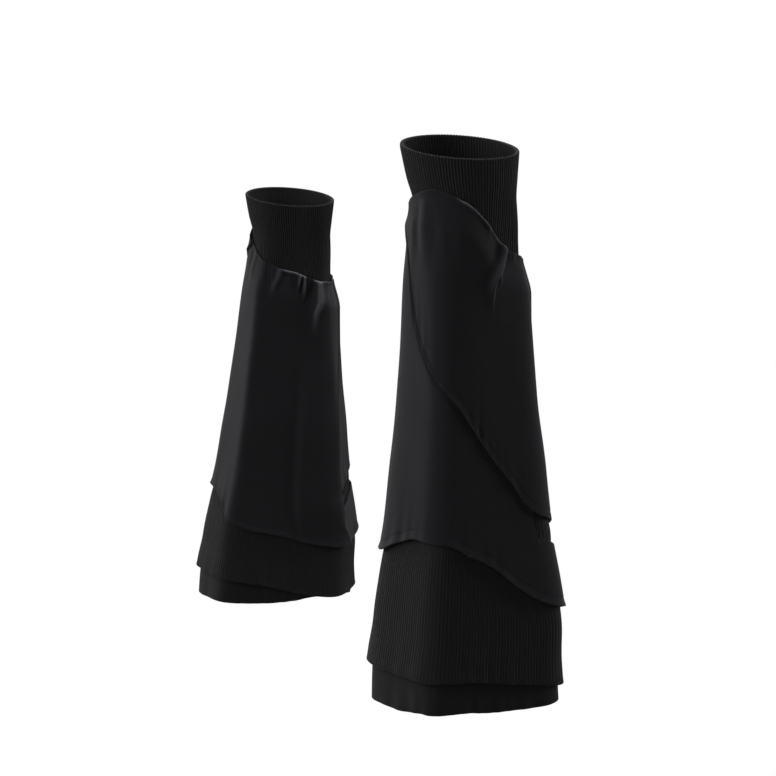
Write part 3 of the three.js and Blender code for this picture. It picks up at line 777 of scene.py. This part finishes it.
def lower_edge_out(turn, height, above):
    """How far the lower panel's hem is turned out, its free edge rolled out along its turned-in strip, and
    its free corner curled."""
    aside = past_edge(turn, height)
    roll = EDGE_ROLL * np.exp(-(((aside - EDGE_ROLL_ASIDE) / EDGE_ROLL_ACROSS) ** 2))
    curl = CURL * np.exp(-((aside / CURL_ACROSS) ** 2)) * (1 - smoothstep(above, 0, CURL_UP))
    return turned_out(above) + roll + curl


def upper_edge_out(turn, height, above):
    """How far the upper panel's hem is turned out, most on the left."""
    near = np.mod(turn + 180, 360) - 180
    return turned_out(above) * (1 - HEM_FLATTENED * smoothstep(near, *HEM_FLATTER))


def rippled(turn, above, seed):
    """A hem's uneven ripples, which fade upwards."""
    source = random.Random(seed)
    total = 0
    for _ in range(6):
        laps, phase = source.randint(9, 34), source.uniform(0, 2 * math.pi)
        total = total + np.sin(np.radians(turn * laps) + phase)
    return RIPPLE * total / 6 * np.exp(-above / RIPPLE_HEIGHT)


def closer(height):
    """How much closer the fleece hangs at heights."""
    return CLOSER_BY * smoothstep(height, CLOSER_FROM, CLOSER_FULL)


def panel_rows(length):
    """Where a panel's rows lie, close together in the creased top and the sewn hem."""
    creased_rows, plain_rows, hem_rows, _ = FLEECE_ROWS
    creased_share = np.minimum(CREASED_DEPTH / length, CREASED_SHARE)[:, None]
    hem_share = np.minimum(HEM_DEPTH / length, HEM_SHARE)[:, None]
    return np.concatenate(
        [
            creased_share * even_rows(creased_rows)[:, :-1],
            lerp(creased_share, 1 - hem_share, even_rows(plain_rows)[:, :-1]),
            lerp(1 - hem_share, 1, even_rows(hem_rows)),
        ],
        1,
    )


# One fleece panel: its name, its end turns and columns, its edges' curves, its inner face's distance out at
# turns, heights and drops below the seam, its seed, a function of turns that is 1 where its top shows and 0
# under another panel, and one of how far its edges stand out at turns, heights and heights above its hem.
Panel = namedtuple("Panel", "name ends columns top_edge bottom_edge out_at seed shown edge_out")


def make_panel(leg, sizes, material, panel):
    """A fleece panel between two edges, with rounded ends."""
    wall = sizes.fleece_wall / MM
    turns, lengths = turns_by_length(FLEECE_SPACED_AT, *panel.ends, panel.columns, closer_at_creases)
    rounding = np.linspace(0, math.pi / 2, END_ROWS)[:-1]
    aside = wall / 2 * (1 - np.cos(rounding))
    inside = (lengths > wall) & (lengths < lengths[-1] - wall)
    length = np.concatenate([aside, lengths[inside], lengths[-1] - aside[::-1]])
    turn = np.interp(length, lengths, turns)
    blunt = np.sin(rounding) + END_BLUNT
    pinch = np.minimum(np.concatenate([blunt, np.ones(inside.sum()), blunt[::-1]]), 1)[:, None]
    column = turn[:, None]
    top, bottom = on_edge(turn, panel.top_edge), on_edge(turn, panel.bottom_edge)

    def faces_at(height):
        led = led_turn(column, height)
        drop = seam(led) - height
        above_hem = height - bottom[:, None]
        uneven = waves(led, height, *FLEECE_UNEVEN) * smoothstep(drop, *FLEECE_UNEVEN_FROM)
        ripples = rippled(led, above_hem, panel.seed)
        edges_out = panel.edge_out(led, height, above_hem)
        inner = panel.out_at(column, height, drop) + uneven + ripples + edges_out
        pressed = lerp(SEWN_THIN, 1, smoothstep(drop, 0, SEWN_THIN_DEPTH))
        lip = sizes.lip * lip_raise(led) * np.exp(-((drop / LIP_DEPTH) ** 2))
        folds = gathered(led, drop, sizes.gathering) + creased(led, height, sizes.gathering)
        soft = (lip + folds + puckers(led, drop, panel.seed)) * panel.shown(led)
        thick = np.maximum(wall * pressed + stitched(above_hem, *FLEECE_SEWN) + soft, THINNEST * wall)
        middle = inner + thick / 2
        return middle - thick / 2 * pinch, middle + thick / 2 * pinch

    def outer(height):
        return faces_at(height)[1]

    def inner(height):
        return faces_at(height)[0]

    height, out = section(top, bottom, panel_rows(top - bottom), FLEECE_ROWS[-1], outer, inner)
    led = led_turn(column + 0 * height, height)
    points = form_point(leg, led, height, out, leg.fleece_sharpness)
    # The painted highlight: the fleece is painted paler along the swollen lip of its turned-in top edge and
    # on its highest crests, where they would catch the light.
    fading = np.exp(-(((seam(led) - height) / HIGHLIGHT_DEPTH) ** 2))
    lip_highlight = smoothstep(lip_raise(led), *HIGHLIGHT_LIP) * panel.shown(led) * fading
    crest_highlight = np.clip(creased(led, height, 1), 0, HIGHLIGHT_FULL_AT) / HIGHLIGHT_FULL_AT
    painted_highlight = np.clip(lip_highlight + HIGHLIGHT_CREST * crest_highlight**2, 0, 1)
    mesh = wall_mesh(f"{leg.name}_{panel.name}", leg, points, length, height, False, painted_highlight)
    return add_piece(f"{leg.name}_{panel.name}_fleece", mesh, material, "fleece", f"{leg.name}_{panel.name}")


def make_upper_panel(leg, sizes, material):
    """The upper panel, over the front from the left side to under the free edge on the right."""

    def out_at(turn, height, drop):
        start = lerp(UPPER_OVER_LOWER, UPPER_AT_SEAM, smoothstep(turn, *OFF_LOWER))
        sunk = beside_free_edge(turn, height) * smoothstep(height, *EDGE_GROOVE_FROM)
        below = UPPER_BELOW - closer(height) - sunk - CORNER_HUG * smoothstep(turn, *CORNER_HUGS)
        return lerp(start, below, smoothstep(drop, 0, FLEECE_SETTLE))

    def shown(turn):
        return 1 - smoothstep(np.mod(turn + 180, 360) - 180, *UNDER_EDGE)

    panel = Panel(
        "upper_panel",
        UPPER_ENDS,
        UPPER_COLUMNS,
        seam,
        upper_hem,
        out_at,
        UPPER_SEED,
        shown,
        upper_edge_out,
    )
    return make_panel(leg, sizes, material, panel)


def make_lower_panel(leg, sizes, material):
    """The lower panel, from its free edge on the right round the back and left side, then down across the
    front behind the upper panel to an end tucked in behind its own free edge."""

    def top_edge(turn):
        hidden_from = LOWER_TOP[0][0]
        return np.where(turn < hidden_from, seam(turn), lower_top(turn))

    def out_at(turn, height, drop):
        over = 1 - smoothstep(turn, *OFF_UPPER)
        start = lerp(LOWER_AT_SEAM, OVER_UPPER_AT_SEAM, over)
        free = lerp(OVER_LOWER, OVER_UPPER, smoothstep(height, *UPPER_UNDER))
        drawn_in = free - EDGE_CLOSER * smoothstep(height, *EDGE_CLOSER_FROM)
        below = lerp(LOWER_BELOW, drawn_in, over) - closer(height)
        return lerp(start, below, smoothstep(drop, 0, FLEECE_SETTLE)) - groove(turn, height)

    def shown(turn):
        return 1 - smoothstep(np.mod(turn - LOWER_ENDS[0], 360), *UNDER_UPPER)

    panel = Panel(
        "lower_panel",
        LOWER_ENDS,
        LOWER_COLUMNS,
        top_edge,
        lower_hem,
        out_at,
        LOWER_SEED,
        shown,
        lower_edge_out,
    )
    return make_panel(leg, sizes, material, panel)


def beside_free_edge(turn, height):
    """How far the upper panel sinks beside the free edge that lies on it."""
    aside = past_edge(led_turn(turn, height), height)
    return GROOVE_DEPTH * np.exp(-(((aside + GROOVE_ASIDE) / GROOVE_WIDTH) ** 2))


def groove(turn, height):
    """How far the lower panel sinks beside the upper panel's hem."""
    near = np.where(turn > 270, turn - 360, turn)
    per_degree = half_width(height) * math.pi / 180
    slope = (upper_hem(near + 1) - upper_hem(near - 1)) / (2 * per_degree)
    aside = (upper_hem(near) - height) / np.sqrt(1 + slope**2)
    beside = (near > UPPER_ENDS[0]) & (near < UPPER_ENDS[1])
    return GROOVE_DEPTH * np.exp(-(((aside - GROOVE_ASIDE) / GROOVE_WIDTH) ** 2)) * beside


def add_node(tree, kind, settings=None, links=None):
    """Adds a shader node, sets its properties and sockets by name, and links inputs from other sockets."""
    node = tree.nodes.new(kind)
    for key, value in (settings or {}).items():
        if key in node.inputs:
            node.inputs[key].default_value = value
        else:
            setattr(node, key, value)
    for key, source in (links or {}).items():
        tree.links.new(source, node.inputs[key])
    return node


def new_material(name):
    """An empty material and its node tree."""
    material = bpy.data.materials.new(name)
    material.use_nodes = True
    tree = material.node_tree
    tree.nodes.clear()
    return material, tree


# A Mix node's two colour sockets and its colour result, by number, as their names aren't theirs alone.
MIX_FIRST, MIX_SECOND, MIX_RESULT = 6, 7, 2
# Noise scales, in patches to the metre: the fleece's mottling of about 11 mm and its nap of about 1 mm,
# coarser than real so that it shows, and the knits' mottling of about 8 mm. Then how far each cloth's tone
# varies.
FLEECE_MOTTLE, FLEECE_NAP, KNIT_MOTTLE = 90.0, 900.0, 120.0
FLEECE_TONES, KNIT_TONES = (0.86, 1.14), (0.88, 1.12)
# How many times paler the fleece is painted as a highlight, along the turned-in top edge and on the highest
# crests.
HIGHLIGHT_PALER = 15.0
NAP_HEIGHT = 0.4 * MM
# The rib knit's stitches, across its wales and down them, the jersey's, and how far each stands out.
RIB_STITCH, RIB_STITCH_RAISED = (1.5 * MM, 1.1 * MM), 0.12 * MM
JERSEY_STITCH, JERSEY_STITCH_RAISED = (1.2 * MM, 1.0 * MM), 0.06 * MM


def brushed_fleece(name, colour):
    """Polyester fleece, knitted and brushed to a short nap: matt, softly mottled, paler at grazing angles,
    and painted paler as a highlight where the mesh's point attribute asks.
    """
    material, tree = new_material(name)
    place = add_node(tree, "ShaderNodeTexCoord")
    mottle = add_node(
        tree,
        "ShaderNodeTexNoise",
        {"Scale": FLEECE_MOTTLE, "Detail": 3.0, "Roughness": 0.6},
        {"Vector": place.outputs["Object"]},
    )
    nap = add_node(
        tree,
        "ShaderNodeTexNoise",
        {"Scale": FLEECE_NAP, "Detail": 2.0, "Roughness": 0.7},
        {"Vector": place.outputs["Object"]},
    )
    dark, pale = [(*[c * times for c in colour], 1.0) for times in FLEECE_TONES]
    tone = add_node(tree, "ShaderNodeMix", {"data_type": "RGBA"}, {"Factor": mottle.outputs["Fac"]})
    tone.inputs[MIX_FIRST].default_value = dark
    tone.inputs[MIX_SECOND].default_value = pale
    # Painted highlight: the tone is mixed toward a far paler fleece by the mesh's point attribute.
    painted_highlight = add_node(tree, "ShaderNodeAttribute", {"attribute_name": "painted_highlight"})
    highlighted = add_node(tree, "ShaderNodeMix", {"data_type": "RGBA"}, {"Factor": painted_highlight.outputs["Fac"]})
    tree.links.new(tone.outputs[MIX_RESULT], highlighted.inputs[MIX_FIRST])
    highlighted.inputs[MIX_SECOND].default_value = (*[c * HIGHLIGHT_PALER for c in colour], 1.0)
    bump = add_node(
        tree, "ShaderNodeBump", {"Strength": 0.35, "Distance": NAP_HEIGHT}, {"Height": nap.outputs["Fac"]}
    )
    shader = add_node(
        tree,
        "ShaderNodeBsdfPrincipled",
        {
            "Roughness": 0.95,
            "IOR": 1.5,
            "Specular IOR Level": 0.2,
            "Sheen Weight": 0.25,
            "Sheen Roughness": 0.5,
            "Sheen Tint": (0.5, 0.5, 0.54, 1.0),
        },
        {"Base Color": highlighted.outputs[MIX_RESULT], "Normal": bump.outputs["Normal"]},
    )
    add_node(tree, "ShaderNodeOutputMaterial", None, {"Surface": shader.outputs["BSDF"]})
    return material


def knit(name, colour, stitch_size, raised):
    """A knitted cloth: stitches across and down its wales, matt with a faint sheen."""
    material, tree = new_material(name)
    uv = add_node(tree, "ShaderNodeUVMap", {"uv_map": "Cloth"})
    apart = add_node(tree, "ShaderNodeSeparateXYZ", None, {"Vector": uv.outputs["UV"]})
    waves_made = []
    for axis, pitch in zip("XY", stitch_size):
        turned = add_node(tree, "ShaderNodeMath", {"operation": "MULTIPLY"}, {0: apart.outputs[axis]})
        turned.inputs[1].default_value = 2 * math.pi / pitch
        waves_made.append(add_node(tree, "ShaderNodeMath", {"operation": "SINE"}, {0: turned.outputs[0]}))
    stitch = add_node(
        tree,
        "ShaderNodeMath",
        {"operation": "ADD"},
        {0: waves_made[0].outputs[0], 1: waves_made[1].outputs[0]},
    )
    place = add_node(tree, "ShaderNodeTexCoord")
    mottle = add_node(
        tree, "ShaderNodeTexNoise", {"Scale": KNIT_MOTTLE, "Detail": 3.0}, {"Vector": place.outputs["Object"]}
    )
    dark, pale = [(*[c * times for c in colour], 1.0) for times in KNIT_TONES]
    tone = add_node(tree, "ShaderNodeMix", {"data_type": "RGBA"}, {"Factor": mottle.outputs["Fac"]})
    tone.inputs[MIX_FIRST].default_value = dark
    tone.inputs[MIX_SECOND].default_value = pale
    bump = add_node(
        tree, "ShaderNodeBump", {"Strength": 0.4, "Distance": raised}, {"Height": stitch.outputs[0]}
    )
    shader = add_node(
        tree,
        "ShaderNodeBsdfPrincipled",
        {
            "Roughness": 0.9,
            "IOR": 1.5,
            "Specular IOR Level": 0.25,
            "Sheen Weight": 0.2,
            "Sheen Roughness": 0.45,
            "Sheen Tint": (0.5, 0.5, 0.5, 1.0),
        },
        {"Base Color": tone.outputs[MIX_RESULT], "Normal": bump.outputs["Normal"]},
    )
    add_node(tree, "ShaderNodeOutputMaterial", None, {"Surface": shader.outputs["BSDF"]})
    return material


def cloth(name, make, *settings):
    """A material by name, made once."""
    return bpy.data.materials.get(name) or make(name, *settings)


def cuff_rib_knit(colours):
    """Cotton and elastane rib knit on the cuffs, a copy painted paler to stand in for the light the cuff's
    ribs catch.
    """
    return cloth("cotton_rib_knit_stretched", knit, colours.cuff, RIB_STITCH, RIB_STITCH_RAISED)


def rib_knit(colours):
    """The same rib knit on the flared tubes, darker than the cuff's copy."""
    return cloth("cotton_rib_knit_slack", knit, colours.rib, RIB_STITCH, RIB_STITCH_RAISED)


def jersey(colours):
    """Smooth knitted jersey, its wales drawn coarser than real so that they show."""
    return cloth("polyester_jersey_knit", knit, colours.jersey, JERSEY_STITCH, JERSEY_STITCH_RAISED)


def fleece(colours):
    """The panels' brushed fleece."""
    return cloth("polyester_fleece_brushed", brushed_fleece, colours.fleece)


class LEGWARMER_OT_cuffs(bpy.types.Operator):
    """Build the two rib-knit cuffs"""

    bl_idname = "legwarmer.cuffs"
    bl_label = "Cuffs"

    def execute(self, context):
        scene = context.scene
        for leg in LEGS:
            piece = make_cuff(leg, scene.legwarmer_sizes, cuff_rib_knit(scene.legwarmer_colours))
        return {"FINISHED"}


class LEGWARMER_OT_inner_tubes(bpy.types.Operator):
    """Build the two smooth inner tubes"""

    bl_idname = "legwarmer.inner_tubes"
    bl_label = "Inner Tubes"

    def execute(self, context):
        scene = context.scene
        for leg in LEGS:
            piece = make_inner_tube(leg, scene.legwarmer_sizes, jersey(scene.legwarmer_colours))
        return {"FINISHED"}


class LEGWARMER_OT_ribbed_tubes(bpy.types.Operator):
    """Build the two flared ribbed tubes"""

    bl_idname = "legwarmer.ribbed_tubes"
    bl_label = "Ribbed Tubes"

    def execute(self, context):
        scene = context.scene
        for leg in LEGS:
            piece = make_ribbed_tube(leg, scene.legwarmer_sizes, rib_knit(scene.legwarmer_colours))
        return {"FINISHED"}


class LEGWARMER_OT_lower_panels(bpy.types.Operator):
    """Build the two long fleece panels that wrap round the back and across the front"""

    bl_idname = "legwarmer.lower_panels"
    bl_label = "Lower Panels"

    def execute(self, context):
        scene = context.scene
        for leg in LEGS:
            piece = make_lower_panel(leg, scene.legwarmer_sizes, fleece(scene.legwarmer_colours))
        return {"FINISHED"}


class LEGWARMER_OT_upper_panels(bpy.types.Operator):
    """Build the two fleece panels with a slanting hem that wrap over the front"""

    bl_idname = "legwarmer.upper_panels"
    bl_label = "Upper Panels"

    def execute(self, context):
        scene = context.scene
        for leg in LEGS:
            piece = make_upper_panel(leg, scene.legwarmer_sizes, fleece(scene.legwarmer_colours))
        return {"FINISHED"}


# The camera, from the size and place of the leg warmers in a square view.
EYE = (-0.0582, -1.9446, 0.2633)
LOOKS_DOWN = 12.505
LENS = 115.84
SENSOR = 36.0
# The pair hangs as worn, so the floor lies well below it. It reaches out of every view.
FLOOR_BELOW = 1.6
FLOOR_RADIUS = 60.0

# Soft lamps aimed at the middle of the pair, with their places and heights in metres and powers in watts.
AIM = Vector((-0.09, 0.38, -0.2))
LAMP_WIDTH = 1.3
Lamp = namedtuple("Lamp", "name place height power")
LAMPS = [
    Lamp("front_left", (-2.87, -1.10, 1.07), 2.4, 76.0),
    Lamp("rim_left", (-2.78, 2.26, 0.68), 2.4, 68.0),
    Lamp("rim_right", (3.19, 0.55, 0.68), 2.4, 68.0),
    Lamp("front", (0.6, -2.85, 0.45), 2.4, 24.0),
    Lamp("top", (-0.09, 0.95, 3.15), 1.3, 95.0),
]
# The glow of the floor and backdrop that reaches the cloth.
WORLD_LIGHT = 0.02


def seen_white(tree, kind, output, colour):
    """The socket of a glow that the camera sees at full strength and that lights the cloth only faintly."""
    path = add_node(tree, "ShaderNodeLightPath")
    dim = add_node(tree, kind, {"Color": colour, "Strength": WORLD_LIGHT})
    seen = add_node(tree, kind, {"Color": colour, "Strength": 1.0})
    links = {0: path.outputs["Is Camera Ray"], 1: dim.outputs[output], 2: seen.outputs[output]}
    return add_node(tree, "ShaderNodeMixShader", None, links).outputs["Shader"]


class LEGWARMER_OT_stage(bpy.types.Operator):
    """Make the plain white floor, the soft lights and the camera"""

    bl_idname = "legwarmer.stage"
    bl_label = "Stage"

    def execute(self, context):
        scene = context.scene
        scene.view_settings.view_transform = "Standard"
        colour = (*scene.legwarmer_colours.floor, 1.0)

        mesh = bpy.data.meshes.new("floor")
        low = CAD_BOX[0][2] - FLOOR_BELOW
        corners = [(x * FLOOR_RADIUS, y * FLOOR_RADIUS, low) for x, y in ((-1, -1), (1, -1), (1, 1), (-1, 1))]
        mesh.from_pydata(corners, [], [(0, 1, 2, 3)])
        floor = bpy.data.objects.new("floor", mesh)
        scene.collection.objects.link(floor)
        material, tree = new_material("white_paper_sweep_lit")
        glow = seen_white(tree, "ShaderNodeEmission", "Emission", colour)
        add_node(tree, "ShaderNodeOutputMaterial", None, {"Surface": glow})
        mesh.materials.append(material)

        world = bpy.data.worlds.new("studio")
        scene.world = world
        world.use_nodes = True
        tree = world.node_tree
        tree.nodes.clear()
        glow = seen_white(tree, "ShaderNodeBackground", "Background", colour)
        add_node(tree, "ShaderNodeOutputWorld", None, {"Surface": glow})

        for lamp in LAMPS:
            light = bpy.data.lights.new(lamp.name, "AREA")
            light.shape = "RECTANGLE"
            light.size, light.size_y = LAMP_WIDTH, lamp.height
            light.energy = lamp.power
            holder = bpy.data.objects.new(lamp.name, light)
            holder.location = lamp.place
            holder.rotation_euler = (AIM - Vector(lamp.place)).to_track_quat("-Z", "Y").to_euler()
            holder.visible_camera = False
            scene.collection.objects.link(holder)

        camera = bpy.data.cameras.new("camera")
        camera.lens = LENS
        camera.sensor_width = SENSOR
        holder = bpy.data.objects.new("camera", camera)
        holder.location = EYE
        holder.rotation_euler = (math.radians(90 - LOOKS_DOWN), 0, 0)
        scene.collection.objects.link(holder)
        scene.camera = holder
        return {"FINISHED"}


class LEGWARMER_PT_sidebar(bpy.types.Panel):
    """The buttons that build the leg warmers"""

    bl_idname = "LEGWARMER_PT_sidebar"
    bl_label = "Leg Warmers"
    bl_space_type = "VIEW_3D"
    bl_region_type = "UI"
    bl_category = "Leg Warmers"

    def draw(self, context):
        for group in (context.scene.legwarmer_sizes, context.scene.legwarmer_colours):
            for key in group.bl_rna.properties.keys():
                if key not in {"rna_type", "name"}:
                    self.layout.prop(group, key)
        for operator in OPERATORS:
            self.layout.operator(operator.bl_idname)


OPERATORS = [
    LEGWARMER_OT_stage,
    LEGWARMER_OT_cuffs,
    LEGWARMER_OT_inner_tubes,
    LEGWARMER_OT_ribbed_tubes,
    LEGWARMER_OT_lower_panels,
    LEGWARMER_OT_upper_panels,
]
CLASSES = [LegWarmerSizes, LegWarmerColours, *OPERATORS, LEGWARMER_PT_sidebar]


def register():
    for made in CLASSES:
        bpy.utils.register_class(made)
    bpy.types.Scene.legwarmer_sizes = bpy.props.PointerProperty(type=LegWarmerSizes)
    bpy.types.Scene.legwarmer_colours = bpy.props.PointerProperty(type=LegWarmerColours)


def unregister():
    del bpy.types.Scene.legwarmer_sizes
    del bpy.types.Scene.legwarmer_colours
    for made in reversed(CLASSES):
        bpy.utils.unregister_class(made)


def main():
    register()
    bpy.ops.legwarmer.stage()
    bpy.ops.legwarmer.cuffs()
    bpy.ops.legwarmer.inner_tubes()
    bpy.ops.legwarmer.ribbed_tubes()
    bpy.ops.legwarmer.lower_panels()
    bpy.ops.legwarmer.upper_panels()


if __name__ == "__main__":
    main()
